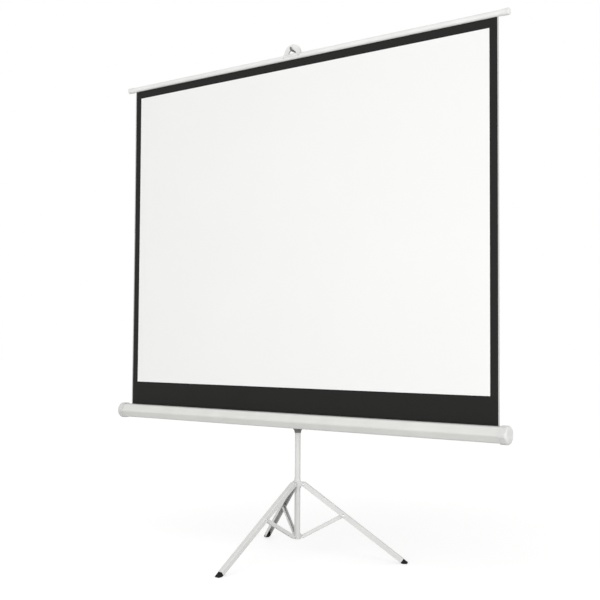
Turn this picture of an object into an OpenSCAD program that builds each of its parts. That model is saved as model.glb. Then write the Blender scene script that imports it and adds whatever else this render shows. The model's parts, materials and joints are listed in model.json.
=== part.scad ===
// Tripod projection screen: a spring-rolled cloth drawn up out of a six-sided case
// and hooked to a telescopic mast on a folding three-legged stand.
// Millimetres. The front is -Y, up is +Z, the floor is z = 0.

/* [Screen cloth] */
// Width of the white picture area
picture_w = 1707; // [1200:1:2100]
// Height of the white picture area
picture_h = 1280; // [900:1:1500]
// Height of the picture's lower edge above the floor
picture_z = 673; // [635:1:755]
// Black border at each side of the picture
side_border = 30; // [15:1:60]
// Black border above the picture
top_border = 35; // [20:1:60]
// Plain selvedge outside each side border
selvedge = 5; // [2:1:12]
// Thickness of the cloth
cloth_t = 0.5; // [0.4:0.05:0.9]

/* [Top batten] */
// Outer diameter of the batten tube
batten_d = 22; // [18:0.5:30]
// Wall of the batten tube
batten_wall = 1.2; // [0.8:0.1:1.8]
// Length of the batten past the cloth at each end
batten_overhang = 42; // [30:1:60]
// Length of a batten end cap
batten_cap_len = 26; // [18:1:28]
// Wall of a batten end cap over the tube
batten_cap_wall = 1.5; // [0.7:0.1:3]
// Diameter of the rod sewn into the cloth's top hem
hem_rod_d = 5; // [4:0.5:7]
// Width of the batten's slot
batten_slot = 1.6; // [1.2:0.1:2.4]

/* [Pull handle] */
// Outer radius of the handle's arch
arch_r = 41; // [36:1:48]
// Width of the arch's bar
arch_bar = 21; // [10:1:22]
// Thickness of the handle, front to back
arch_t = 8; // [6:0.5:12]
// Wall of the saddle that clips over the batten
saddle_wall = 2.6; // [2:0.1:4]
// Diameter of the mast hook's rod
hook_d = 7.5; // [6:0.5:11]

/* [Mast] */
// Outer diameter of the lower mast tube
mast_d = 23; // [21:0.5:25.5]
// Wall of the lower mast tube
mast_wall = 1.2; // [1:0.1:1.6]
// Height of the lower mast tube's foot above the floor
mast_foot_z = 78; // [71:1:83]
// Height of the lower mast tube's top
mast_top_z = 1145; // [1000:5:1175]
// Outer diameter of the upper mast tube
inner_d = 17.5; // [15:0.5:19.5]
// Wall of the upper mast tube
inner_wall = 1.2; // [0.8:0.1:1.6]
// Length of the upper tube that stays inside the lower one
inner_lap = 150; // [120:1:220]
// Distance from the cloth back to the mast's axis
cloth_to_mast = 51; // [48:0.5:60]

/* [Case] */
// Height of the case's axis above the floor
case_z = 545; // [540:0.5:565]
// Case width across its flats
case_flats = 57; // [53:0.5:66]
// Radius of the case's rounded corners
case_corner_r = 11; // [5:0.5:14]
// Wall of the case
case_wall = 1.2; // [0.8:0.1:1.6]
// Width of the slot that the cloth comes out of
slot_w = 8; // [5:0.5:9]
// Length of the case tube past the cloth at each end
case_overhang = 37; // [30:1:50]
// Wall of an end cap around the case tube
cap_wall = 3.5; // [2:0.1:5]
// Diameter over an end cap's rounded corners
cap_d = 67.5; // [65:0.5:74]
// Length of an end cap's rounding towards its end
cap_round = 10; // [4:0.5:14]
// Length of an end cap
cap_len = 29; // [24:1:34]
// Thickness of an end cap's end wall
cap_end = 6.5; // [5:0.5:9]

/* [Roller] */
// Outer diameter of the roller tube
roller_d = 24; // [22:0.5:28]
// Wall of the roller tube
roller_wall = 1; // [0.8:0.1:1.5]
// Thickness of the turns of cloth that stay on the roller
wraps_t = 1.5; // [1:0.1:3]
// Diameter of the fixed spring rod
rod_d = 10; // [8:0.5:11]
// Length of the spring rod inside the roller
rod_len = 430; // [300:5:600]
// Diameter of the spring's wire
wire_d = 1.8; // [1.4:0.1:2.2]
// Number of turns of the roller spring
spring_turns = 22; // [10:1:24]
// Diameter of the idle end's gudgeon
gudgeon_d = 8; // [6:0.5:10]

/* [Slider] */
// Outer diameter of the slider's sleeve
sleeve_d = 36; // [32.5:0.5:38]
// Height of the slider's lower end above the floor
sleeve_foot_z = 493.5; // [493:0.5:501]
// Height of the slider's upper end
sleeve_top_z = 685; // [665:1:715]
// Diameter of the skirt round the slider's lower end
skirt_d = 41; // [40:0.5:48]
// Diameter of the case pivot's bolt
pivot_d = 8; // [6:0.5:10]
// Length of the saddle bracket along the case
bracket_len = 150; // [100:5:220]
// Thickness of the saddle bracket
bracket_t = 4; // [3:0.5:5]
// Finger room between the carrying handle and the slider
grip_gap = 36; // [30:1:45]
// Diameter of the carrying handle's grip
grip_d = 22; // [18:0.5:26]

/* [Clamp knobs] */
// Diameter of a clamp knob
knob_d = 36; // [28:1:44]
// Height of a clamp knob
knob_h = 16; // [12:0.5:22]
// Diameter of a clamp screw
screw_d = 8; // [6:0.5:9]

/* [Tripod] */
// Turn of the tripod about the mast, seen from above
tripod_turn = -5.5; // [-12:0.5:12]
// Radius of the leg pivots on the sliding hub
hub_pivot_r = 24; // [23.5:0.5:28]
// Height of the leg pivots with the legs spread
hub_pivot_z = 291.5; // [285:0.5:292.5]
// Radius of the strut pivots on the fixed collar
collar_pivot_r = 24; // [23.5:0.5:26]
// Height of the strut pivots above the floor
collar_pivot_z = 86; // [83:0.5:87]
// Distance from a leg's top pivot to its strut pivot
leg_to_strut = 199; // [192:1:200]
// Length of a strut between its pivots
strut_len = 184.5; // [178:0.5:185.5]
// Width of a leg's channel
leg_w = 21; // [20.5:0.5:25]
// Wall of a leg's channel
leg_wall = 1.2; // [1:0.1:1.6]
// Depth of a leg's channel on the open side of its pivots
leg_in = 8; // [7.5:0.5:8.5]
// Depth of a leg's channel on the web side of its pivots
leg_out = 10.5; // [10:0.5:13]
// Width of a strut's channel
strut_w = 14; // [12:0.5:14.5]
// Half the depth of a strut's channel
strut_half = 7; // [6.5:0.5:7]
// Wall of a strut's channel
strut_wall = 1.2; // [1:0.1:1.6]
// Diameter of the pivot pins
pin_d = 6; // [4:0.5:7]
// Length of a leg's channel from its top pivot
leg_len = 482; // [450:0.5:520]
// Length of a foot along its leg, from the channel's end to the floor
sole_len = 17; // [15:0.5:22]
// Length of a foot that is plugged into its leg
foot_grip = 16; // [6:1:24]
// Rounding of a rubber foot's corners
foot_soft = 2.6; // [1.6:0.1:4]

/* [Fits] */
// Running clearance of sliding and turning pieces, on the radius
run_gap = 0.08; // [0.02:0.01:0.1]
// Side clearance between neighbouring pieces
side_gap = 0.3; // [0.2:0.05:0.5]

/* [Hidden] */
$fn = 48;
eps = 0.05;

paint = [0.86, 0.86, 0.84];
shade = [0.74, 0.75, 0.73];
dark = [0.1, 0.1, 0.1];
slate = [0.4, 0.4, 0.4];
steel = [0.62, 0.63, 0.65];
white = [0.95, 0.95, 0.94];

// Linkage angles, measured from the vertical with the legs spread
pivot_drop = hub_pivot_z - collar_pivot_z;
pivot_step = hub_pivot_r - collar_pivot_r;
pivot_span = norm([pivot_drop, pivot_step]);
link_along = (leg_to_strut^2 - strut_len^2 + pivot_span^2) / (2 * pivot_span);
link_out = sqrt(leg_to_strut^2 - link_along^2);
knee_r = hub_pivot_r - pivot_step / pivot_span * link_along + pivot_drop / pivot_span * link_out;
knee_z = hub_pivot_z - pivot_drop / pivot_span * link_along - pivot_step / pivot_span * link_out;
leg_tilt = atan2(knee_r - hub_pivot_r, hub_pivot_z - knee_z);
strut_tilt = atan2(knee_r - collar_pivot_r, knee_z - collar_pivot_z);
leg_azimuth = [-90 + tripod_turn, 30 + tripod_turn, 150 + tripod_turn];

// Feet: each rubber tip reaches past the floor along its leg and is cut flat at the floor.
// The whole screen stands as high as its legs lift it.
foot_reach = leg_len + sole_len + 5;
lift = (leg_len + sole_len) * cos(leg_tilt) - hub_pivot_z;
foot_tip_r = hub_pivot_r + foot_reach * sin(leg_tilt);

// The origin lies under the middle of the feet, so the mast stands behind it
mast_y = foot_tip_r * (-sin(leg_azimuth[0]) - sin(leg_azimuth[2])) / 2;
cloth_y = mast_y - cloth_to_mast;

// Cloth and roller
sheet_w = picture_w + 2 * (side_border + selvedge);
cloth_top_z = picture_z + picture_h + top_border;
roll_r = roller_d / 2 + wraps_t;
case_y = cloth_y - roll_r - side_gap - cloth_t / 2;
batten_z = cloth_top_z + batten_d / 2 - 3.5;
seam_gap = 0.2;

// Case lengths
case_half = sheet_w / 2 + case_overhang;
cap_out = case_half + cap_end + side_gap;
cap_in = cap_out - cap_len;
cap_flats = case_flats + 2 * cap_wall;
roller_half = sheet_w / 2 + 5;
boss_len = cap_out - cap_end - roller_half - 8;
boss_r = 13;
bearing_r = 8;

// Slider and case bracket
case_back = (case_flats / 2 - case_corner_r) / cos(30) + case_corner_r;
boss_face = sleeve_d / 2 + 1.5;
bolt_head_h = 4.5;
bolt_head_d = pivot_d + 6;
bracket_boss_d = 40;

// Upper mast and its clamp
mast_bore_r = mast_d / 2 - mast_wall;
bush_flange = 3;
lock_top_z = mast_top_z + bush_flange + 32;
lock_screw_z = lock_top_z - 16;
inner_foot_z = mast_top_z - inner_lap;
inner_top_z = batten_z - 11;

// Hook and pull handle
arch_z = batten_z + batten_d / 2 - 2;
hook_z = arch_z + arch_r - arch_bar - side_gap - hook_d / 2;
hook_bend = hook_d * 0.9;

// Outline of a six-sided profile with rounded corners, flats up and down
function round_hex(flats, r, steps = 6) = [
    for (k = [0:5], i = [0:steps])
        let (c = (flats / 2 - r) / cos(30), a = 60 * k, t = a - 30 + 60 * i / steps)
        [c * cos(a) + r * cos(t), c * sin(a) + r * sin(t)]
];

// Outline of a U-shaped channel, open to -y, with its bends rounded
function channel(w, y_open, y_web, wall, r, steps = 4) = let (h = w / 2) concat(
    [[h, y_open]],
    [for (i = [0:steps]) let (t = 90 * i / steps) [h - r + r * cos(t), y_web - r + r * sin(t)]],
    [for (i = [0:steps]) let (t = 90 + 90 * i / steps) [-h + r + r * cos(t), y_web - r + r * sin(t)]],
    [[-h, y_open], [-h + wall, y_open]],
    [for (i = [0:steps]) let (t = 180 - 90 * i / steps, q = r - wall)
        [-h + r + q * cos(t), y_web - r + q * sin(t)]],
    [for (i = [0:steps]) let (t = 90 - 90 * i / steps, q = r - wall)
        [h - r + q * cos(t), y_web - r + q * sin(t)]],
    [[h - wall, y_open]]
);

// Points round a wire that winds along +x
function coil_ring(turn, pitch, coil_r, wire_r, sides) =
    let (a = 360 * turn, tilt = atan2(pitch, 2 * PI * coil_r))
    [for (i = [0:sides - 1]) let (b = 360 * i / sides, u = wire_r * cos(b), v = wire_r * sin(b))
        [pitch * turn + v * cos(tilt),
         (coil_r + u) * cos(a) + v * sin(tilt) * sin(a),
         (coil_r + u) * sin(a) - v * sin(tilt) * cos(a)]];

module along_x() { rotate([90, 0, 90]) children(); }
module along_y() { rotate([-90, 0, 0]) children(); }
module mirror_pair() {
    children();
    mirror([1, 0, 0]) children();
}
module at_mast() { translate([0, mast_y, lift]) children(); }
module at_cloth() { translate([-sheet_w / 2, cloth_y - cloth_t / 2, lift]) children(); }
module at_case() { translate([0, case_y, case_z + lift]) children(); }
module at_batten() { translate([0, cloth_y, batten_z + lift]) children(); }

// A leg's own frame: x runs down the leg from its top pivot, z points out through its web
module leg_frame(k) {
    at_mast() rotate([0, 0, leg_azimuth[k]]) translate([hub_pivot_r, 0, hub_pivot_z])
        rotate([0, 90 - leg_tilt, 0]) children();
}

// A strut's own frame: x runs up the strut from the collar, z points in through its open side
module strut_frame(k) {
    at_mast() rotate([0, 0, leg_azimuth[k]]) translate([collar_pivot_r, 0, collar_pivot_z])
        rotate([0, strut_tilt - 90, 0]) children();
}

module hex_bar(flats, r, len) {
    translate([-len / 2, 0, 0]) along_x() linear_extrude(len) polygon(round_hex(flats, r));
}

module ring(d_out, d_in, h) {
    difference() {
        cylinder(d = d_out, h = h);
        translate([0, 0, -1]) cylinder(d = d_in, h = h + 2);
    }
}

// A pin across y with a domed head outside each end of its span
module headed_pin(d, span, head_d, head_h) {
    along_y() {
        translate([0, 0, -span / 2 - eps]) cylinder(d = d, h = span + 2 * eps);
        for (m = [0, 1]) mirror([0, 0, m]) translate([0, 0, span / 2])
            cylinder(d1 = head_d, d2 = head_d * 0.6, h = head_h);
    }
}

// A fluted clamp knob with its screw, along +z from the screw's tip
module clamp_screw(reach) {
    flutes = 8;
    hub_d = screw_d + 8;
    cylinder(d = screw_d, h = reach + eps);
    translate([0, 0, reach]) cylinder(d = hub_d, h = 4 + eps);
    translate([0, 0, reach + 4]) difference() {
        union() {
            cylinder(d = knob_d, h = knob_h - 3);
            translate([0, 0, knob_h - 3]) cylinder(d1 = knob_d, d2 = knob_d - 8, h = 3);
        }
        for (k = [0:flutes - 1]) rotate(360 * k / flutes)
            translate([knob_d / 2 + 3, 0, -1]) cylinder(d = 11, h = knob_h + 2);
    }
}

// Mast

module mast_tube() {
    color(paint) at_mast() translate([0, 0, mast_foot_z])
        ring(mast_d, 2 * mast_bore_r, mast_top_z - mast_foot_z);
}

module mast_plug() {
    flange = 3;
    color(shade) at_mast() {
        translate([0, 0, mast_foot_z - flange]) cylinder(d = mast_d, h = flange);
        translate([0, 0, mast_foot_z - eps]) cylinder(r = mast_bore_r - run_gap, h = 20);
    }
}

module mast_bush() {
    color(shade) at_mast() difference() {
        union() {
            translate([0, 0, mast_top_z - 35]) cylinder(r = mast_bore_r - run_gap, h = 35 + eps);
            translate([0, 0, mast_top_z]) cylinder(d = mast_d, h = bush_flange);
        }
        translate([0, 0, mast_top_z - 36]) cylinder(r = inner_d / 2 + run_gap, h = 60);
    }
}

module mast_lock_collar() {
    low = mast_top_z - 32;
    wide = mast_d + 13;
    color(shade) at_mast() difference() {
        union() {
            translate([0, 0, low]) cylinder(d1 = wide - 5, d2 = wide, h = 4);
            translate([0, 0, low + 4]) cylinder(d = wide, h = lock_top_z - low - 10);
            translate([0, 0, lock_top_z - 6]) cylinder(d1 = wide, d2 = wide - 10, h = 6);
            translate([0, 0, lock_screw_z]) along_y() cylinder(d = screw_d + 14, h = wide / 2 + 4);
        }
        translate([0, 0, low - 1]) cylinder(d = mast_d + 2 * run_gap, h = mast_top_z + bush_flange - low + 1);
        translate([0, 0, low]) cylinder(d = inner_d + 2 * side_gap, h = 2 * lock_top_z);
        translate([0, 0, lock_screw_z]) along_y() cylinder(d = screw_d + 2 * run_gap, h = wide);
    }
}

module mast_lock_knob() {
    tip = inner_d / 2 + 0.15;
    reach = (mast_d + 13) / 2 + 4 + side_gap - tip;
    color(dark) at_mast() translate([0, tip, lock_screw_z]) along_y() clamp_screw(reach);
}

module upper_mast_tube() {
    color(paint) at_mast() translate([0, 0, inner_foot_z])
        ring(inner_d, inner_d - 2 * inner_wall, inner_top_z - inner_foot_z);
}

module upper_mast_bush() {
    color(shade) at_mast() translate([0, 0, inner_foot_z - 3]) {
        cylinder(r = mast_bore_r - run_gap, h = 3);
        cylinder(d = inner_d - 2 * inner_wall - 2 * run_gap, h = 28);
    }
}

// A plug in the upper tube with a rod that rises, bends forward under the arch and turns up
module mast_hook() {
    collar_h = 18;
    tip_y = cloth_to_mast + arch_t / 2 + 3 + hook_bend;
    tip_z = hook_z + hook_bend + 3;
    rod_top = hook_z - hook_bend;
    color(slate) at_mast() {
        translate([0, 0, inner_top_z - 24])
            cylinder(d = inner_d - 2 * inner_wall - 2 * run_gap, h = 24 + eps);
        translate([0, 0, inner_top_z]) cylinder(d = inner_d + 4, h = collar_h - 4);
        translate([0, 0, inner_top_z + collar_h - 4]) cylinder(d1 = inner_d + 4, d2 = hook_d + 2, h = 4);
    }
    color(slate) at_mast() {
        translate([0, 0, inner_top_z + collar_h - 6])
            cylinder(d = hook_d, h = rod_top - inner_top_z - collar_h + 6);
        translate([0, -hook_bend, rod_top]) along_x()
            rotate_extrude(angle = 90) translate([hook_bend, 0]) circle(d = hook_d);
        translate([0, -hook_bend, hook_z]) rotate([90, 0, 0]) cylinder(d = hook_d, h = tip_y - 2 * hook_bend);
        translate([0, hook_bend - tip_y, hook_z + hook_bend]) along_x() rotate(180)
            rotate_extrude(angle = 90) translate([hook_bend, 0]) circle(d = hook_d);
        translate([0, -tip_y, hook_z + hook_bend]) cylinder(d = hook_d, h = tip_z - hook_z - hook_bend);
        translate([0, -tip_y, tip_z]) cylinder(d1 = hook_d, d2 = hook_d * 0.6, h = 2.5);
    }
}

// Tripod

module tripod_hub() {
    lug_t = leg_w - 2 * leg_wall - 2 * side_gap;
    body_r = hub_pivot_r - leg_in - 1.5;
    bore_r = mast_d / 2 + run_gap;
    lug_r = leg_out - leg_wall - 1;
    low = -16;
    waist = 8;
    rim_z = 22;
    rim_r = bore_r + 0.8;
    color(shade) at_mast() translate([0, 0, hub_pivot_z]) difference() {
        union() {
            rotate_extrude() polygon(concat(
                [[bore_r - 1, low], [body_r - 0.8, low], [body_r, low + 2], [body_r, waist]],
                [for (t = [15:15:90]) [rim_r + (body_r - rim_r) * (1 - sin(t)),
                    waist + (rim_z - waist) * (1 - cos(t))]],
                [[bore_r - 1, rim_z]]));
            for (a = leg_azimuth) rotate(a) {
                translate([body_r / 2, -lug_t / 2, -lug_r])
                    cube([hub_pivot_r - body_r / 2, lug_t, 2 * lug_r]);
                translate([hub_pivot_r, -lug_t / 2, 0]) along_y() cylinder(r = lug_r, h = lug_t);
            }
        }
        translate([0, 0, low - 1]) cylinder(r = bore_r, h = rim_z - low + 2);
        for (a = leg_azimuth) rotate(a) translate([hub_pivot_r, -leg_w, 0])
            along_y() cylinder(d = pin_d + 0.05, h = 2 * leg_w);
    }
}

module hub_pins() {
    color(steel) at_mast() for (a = leg_azimuth) rotate(a) translate([hub_pivot_r, 0, hub_pivot_z])
        headed_pin(pin_d, leg_w + 2 * side_gap, pin_d + 5, 1.8);
}

module base_collar() {
    lug_t = strut_w - 2 * strut_wall - 2 * side_gap;
    body_r = collar_pivot_r - strut_half - 2.5;
    lug_r = strut_half - strut_wall - side_gap;
    low = -11;
    high = 11;
    color(shade) at_mast() translate([0, 0, collar_pivot_z]) difference() {
        union() {
            translate([0, 0, low]) cylinder(r1 = body_r - 1, r2 = body_r, h = 1.5);
            translate([0, 0, low + 1.5]) cylinder(r = body_r, h = high - low - 4.5);
            translate([0, 0, high - 3]) cylinder(r1 = body_r, r2 = body_r - 1.2, h = 3);
            for (a = leg_azimuth) rotate(a) {
                translate([body_r / 2, -lug_t / 2, -lug_r])
                    cube([collar_pivot_r - body_r / 2, lug_t, 2 * lug_r]);
                translate([collar_pivot_r, -lug_t / 2, 0]) along_y() cylinder(r = lug_r, h = lug_t);
            }
        }
        translate([0, 0, low - 1]) cylinder(r = mast_d / 2 + 0.02, h = high - low + 2);
        for (a = leg_azimuth) rotate(a) translate([collar_pivot_r, -strut_w, 0])
            along_y() cylinder(d = pin_d + 0.05, h = 2 * strut_w);
    }
}

// The pins stay inside the collar's lugs, where the linkage is opened
module collar_pins() {
    lug_t = strut_w - 2 * strut_wall - 2 * side_gap;
    color(steel) at_mast() for (a = leg_azimuth) rotate(a)
        translate([collar_pivot_r, -lug_t / 2, collar_pivot_z]) along_y() cylinder(d = pin_d, h = lug_t);
}

module leg(k) {
    bend_r = 2.4;
    hole_r = pin_d / 2 + run_gap;
    color(paint) leg_frame(k) difference() {
        intersection() {
            translate([-leg_in - 1, 0, 0]) along_x() linear_extrude(leg_len + leg_in + 1)
                polygon(channel(leg_w, -leg_in, leg_out, leg_wall, bend_r));
            translate([0, -leg_w, 0]) along_y() linear_extrude(2 * leg_w) {
                translate([0, -leg_out]) square([leg_len, leg_in + leg_out]);
                circle(r = leg_in);
            }
        }
        for (x = [0, leg_to_strut]) translate([x, -leg_w, 0]) along_y() cylinder(r = hole_r, h = 2 * leg_w);
    }
}

// A rubber tip plugged into the leg's open end, cut flat at the floor
module foot(k) {
    gap = 0.15;
    half_w = leg_w / 2 - leg_wall - gap;
    low = -leg_in;
    high = leg_out - leg_wall - gap;
    color(dark) difference() {
        leg_frame(k) translate([leg_len - foot_grip, 0, 0]) along_x()
            linear_extrude(foot_reach - leg_len + foot_grip)
            hull() for (sx = [-1, 1], y = [low + foot_soft, high - foot_soft])
                translate([sx * (half_w - foot_soft), y]) circle(r = foot_soft, $fn = 24);
        translate([-2 * foot_reach, -2 * foot_reach, -foot_reach])
            cube([4 * foot_reach, 4 * foot_reach, foot_reach]);
    }
}

module strut(k) {
    bend_r = 2.2;
    hole_r = pin_d / 2 + run_gap;
    color(paint) strut_frame(k) difference() {
        intersection() {
            translate([-strut_half - 1, 0, 0]) rotate([180, 0, 0]) along_x()
                linear_extrude(strut_len + 2 * strut_half + 2)
                polygon(channel(strut_w, -strut_half, strut_half, strut_wall, bend_r));
            translate([0, -strut_w, 0]) along_y() linear_extrude(2 * strut_w) {
                translate([0, -strut_half]) square([strut_len, 2 * strut_half]);
                circle(r = strut_half);
                translate([strut_len, 0]) circle(r = strut_half);
            }
        }
        for (x = [0, strut_len]) translate([x, -strut_w, 0]) along_y() cylinder(r = hole_r, h = 2 * strut_w);
    }
}

// The pin at a leg's knee, with a washer each side of the strut
module strut_pin(k) {
    washer_in = strut_w / 2 + side_gap / 2;
    washer_out = leg_w / 2 - leg_wall - side_gap / 2;
    color(steel) leg_frame(k) translate([leg_to_strut, 0, 0]) {
        headed_pin(pin_d, leg_w + side_gap, pin_d + 5, 1.8);
        for (m = [0, 1]) mirror([0, m, 0]) translate([0, washer_in, 0]) along_y()
            ring(pin_d + 5, pin_d + 2 * run_gap, washer_out - washer_in);
    }
}

// Rivet heads in a strut's walls, over the pin in the collar's lug
module strut_rivet(k) {
    stub = strut_wall + 0.1;
    color(steel) strut_frame(k) for (m = [0, 1]) mirror([0, m, 0])
        translate([0, strut_w / 2 - strut_wall, 0]) along_y() {
            cylinder(d = pin_d, h = stub + eps);
            translate([0, 0, stub]) cylinder(d1 = pin_d + 4, d2 = pin_d + 1, h = 1.6);
        }
}

// Slider on the mast

module slider() {
    bore_r = mast_d / 2 + run_gap;
    sleeve_r = sleeve_d / 2;
    skirt_r = skirt_d / 2;
    knob_z = case_z + 48;
    color(slate) at_mast() difference() {
        union() {
            translate([0, 0, sleeve_foot_z]) rotate_extrude() polygon([
                [bore_r - 1, 0], [bore_r + 1.2, 0], [bore_r + 2.4, 8], [skirt_r - 1, 15], [skirt_r, 16.5],
                [skirt_r, 18], [sleeve_r, 23], [sleeve_r, sleeve_top_z - sleeve_foot_z - 3],
                [sleeve_r - 3, sleeve_top_z - sleeve_foot_z], [bore_r - 1, sleeve_top_z - sleeve_foot_z]]);
            translate([0, -boss_face, case_z]) along_y() cylinder(d = bracket_boss_d + 6, h = boss_face);
            translate([0, 0, knob_z]) along_x() cylinder(d = screw_d + 14, h = sleeve_r + 5);
        }
        translate([0, 0, sleeve_foot_z - 1]) cylinder(r = bore_r, h = sleeve_top_z);
        translate([0, -boss_face - 1, case_z]) along_y() cylinder(d = pivot_d + 0.05, h = boss_face);
        translate([0, 0, knob_z]) along_x() cylinder(d = screw_d + 2 * run_gap, h = sleeve_d);
    }
}

module slider_knob() {
    tip = mast_d / 2 + 0.15;
    color(dark) at_mast() translate([tip, 0, case_z + 48]) along_x()
        clamp_screw(sleeve_d / 2 + 5 + side_gap - tip);
}

// The bolt that the case swings on, screwed into the slider's boss
module pivot_bolt() {
    head_y = -boss_face - side_gap - 5 - bolt_head_h;
    bore_r = mast_d / 2 + run_gap;
    color(steel) at_mast() translate([0, 0, case_z]) {
        translate([0, head_y, 0]) along_y() cylinder(d = bolt_head_d, h = bolt_head_h);
        translate([0, head_y + 1, 0]) along_y() cylinder(d = pivot_d, h = -head_y - 1 - bore_r - 1);
    }
}

// A D-shaped grip behind the slider
module carry_handle() {
    foot_h = 26;
    sleeve_r = sleeve_d / 2;
    low = case_z - 20;
    high = sleeve_top_z - 10;
    grip_y = sleeve_r + grip_gap + grip_d / 2;
    color(dark) at_mast() difference() {
        union() {
            translate([0, grip_y, low + 6]) cylinder(d = grip_d, h = high - low - 12);
            for (z = [low + foot_h / 2, high - foot_h / 2]) {
                translate([0, grip_y, z]) sphere(d = grip_d + 4);
                translate([0, sleeve_r - 4, z]) along_y()
                    cylinder(d1 = foot_h, d2 = grip_d, h = grip_y - sleeve_r + 4);
            }
        }
        translate([0, 0, low - 50]) cylinder(r = sleeve_r + 0.1, h = high - low + 100);
        for (z = [low + foot_h / 2, high - foot_h / 2]) translate([0, 0, z]) along_y() {
            cylinder(d = 5.2, h = grip_y + grip_d);
            translate([0, 0, grip_y]) cylinder(d = 10, h = grip_d);
        }
    }
}

module carry_handle_screws() {
    foot_h = 26;
    low = case_z - 20;
    high = sleeve_top_z - 10;
    grip_y = sleeve_d / 2 + grip_gap + grip_d / 2;
    color(steel) at_mast() for (z = [low + foot_h / 2, high - foot_h / 2])
        translate([0, sleeve_d / 2 + 0.2, z]) along_y() {
            cylinder(d = 5, h = grip_y - sleeve_d / 2);
            translate([0, 0, grip_y - sleeve_d / 2 - 0.1]) cylinder(d = 9.4, h = 3.5);
        }
}

// Case

module case_tube() {
    color(paint) at_case() difference() {
        hex_bar(case_flats, case_corner_r, 2 * case_half);
        hex_bar(case_flats - 2 * case_wall, case_corner_r - case_wall, 2 * case_half + 2);
        translate([-case_half - 1, cloth_y - case_y - slot_w / 2, case_flats / 4])
            cube([2 * case_half + 2, slot_w, case_flats]);
        at_cap_screws() cylinder(d = 4.2, h = case_flats);
        at_bracket_rivets() cylinder(d = 5, h = case_flats);
    }
}

// An end cap: a six-sided cup turned round at its corners and its end, with a boss for the roller's bearing
module case_cap() {
    difference() {
        translate([cap_in, 0, 0]) along_x() intersection() {
            cylinder(d = cap_flats / cos(30), h = cap_len, $fn = 6);
            rotate_extrude() polygon(concat(
                [[0, 0], [cap_d / 2, 0]],
                [for (t = [0:15:90])
                    [cap_d / 2 - cap_round * (1 - cos(t)), cap_len - cap_round * (1 - sin(t))]],
                [[0, cap_len]]));
        }
        translate([case_half / 2 + side_gap / 2, 0, 0])
            hex_bar(case_flats + side_gap, case_corner_r + side_gap / 2, case_half + side_gap);
        for (a = [-60, -120]) translate([cap_in + 10, 0, 0]) rotate([a, 0, 0])
            cylinder(d = 4.2, h = cap_flats);
    }
    translate([cap_out - cap_end - boss_len, 0, 0]) along_x() ring(2 * boss_r, 2 * bearing_r, boss_len + 1);
}

module case_cap_left() { color(shade) at_case() mirror([1, 0, 0]) case_cap(); }
module case_cap_right() { color(shade) at_case() case_cap(); }

// Places of the screws that hold the caps, on the two rear faces
module at_cap_screws() {
    mirror_pair() for (a = [-60, -120]) translate([cap_in + 10, 0, 0]) rotate([a, 0, 0]) children();
}

module cap_screws() {
    color(steel) at_case() at_cap_screws() {
        translate([0, 0, cap_flats / 2 + eps]) cylinder(d1 = 8, d2 = 5, h = 1.8);
        translate([0, 0, case_flats / 2 - 4]) cylinder(d = 4, h = cap_wall + 4 + 2 * eps);
    }
}

// Places of the rivets that hold the bracket, on the two rear faces
module at_bracket_rivets() {
    reach = bracket_len / 2 - 15;
    for (x = [-reach, reach], a = [-60, -120]) translate([x, 0, 0]) rotate([a, 0, 0]) children();
}

// The bracket that holds the case: a folded plate on its two rear faces, with a pivot boss
module case_bracket() {
    flat_in = case_flats + 0.2;
    boss_len_y = mast_y - boss_face - side_gap - case_y;
    color(paint) at_case() difference() {
        union() {
            intersection() {
                hex_bar(flat_in + 2 * bracket_t, case_corner_r + bracket_t, bracket_len);
                translate([-bracket_len, cloth_y - case_y + slot_w / 2 + 1.5, -case_flats])
                    cube([2 * bracket_len, case_flats, 2 * case_flats]);
            }
            along_y() cylinder(d = bracket_boss_d, h = boss_len_y);
        }
        hex_bar(flat_in, case_corner_r + 0.1, bracket_len + 50);
        along_y() cylinder(d = pivot_d + 2 * run_gap, h = 2 * case_flats);
        along_y() cylinder(d = bolt_head_d + 1, h = boss_len_y - 5 + 0.1);
        at_bracket_rivets() cylinder(d = 5, h = case_flats);
    }
}

module bracket_rivets() {
    out = case_flats / 2 + bracket_t + 0.15;
    in = case_flats / 2 - case_wall - 0.05;
    color(steel) at_case() at_bracket_rivets() {
        translate([0, 0, out]) cylinder(d1 = 9, d2 = 5, h = 2);
        translate([0, 0, in - eps]) cylinder(d = 4.8, h = out - in + 2 * eps);
        translate([0, 0, in - 1.2]) cylinder(d = 8, h = 1.2);
    }
}

// Roller and spring

module roller_tube() {
    color(steel) at_case() translate([-roller_half, 0, 0]) along_x()
        ring(roller_d, roller_d - 2 * roller_wall, 2 * roller_half);
}

module cloth_wraps() {
    color(dark) at_case() translate([-sheet_w / 2, 0, 0]) along_x()
        ring(2 * roll_r, roller_d + 0.1, sheet_w);
}

module roller_idle_plug() {
    plug_r = roller_d / 2 - roller_wall - 0.05;
    color(shade) at_case() mirror([1, 0, 0]) {
        translate([roller_half - 30, 0, 0]) along_x() cylinder(r = plug_r, h = 30 + eps);
        translate([roller_half, 0, 0]) along_x() cylinder(d = roller_d, h = 3);
        translate([roller_half + 3 - eps, 0, 0]) along_x() cylinder(d = gudgeon_d, h = boss_len + 2);
    }
}

module roller_spring_plug() {
    plug_r = roller_d / 2 - roller_wall - 0.05;
    color(shade) at_case() difference() {
        union() {
            translate([roller_half - 30, 0, 0]) along_x() cylinder(r = plug_r, h = 30 + eps);
            translate([roller_half, 0, 0]) along_x() cylinder(d = roller_d, h = 3);
        }
        translate([roller_half - 31, 0, 0]) along_x() cylinder(r = rod_d / 2 + run_gap, h = 40);
    }
}

module idle_bearing() {
    color(shade) at_case() mirror([1, 0, 0]) translate([cap_out - cap_end - boss_len, 0, 0]) along_x()
        ring(2 * bearing_r - 0.04, gudgeon_d + 2 * run_gap, boss_len);
}

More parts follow.
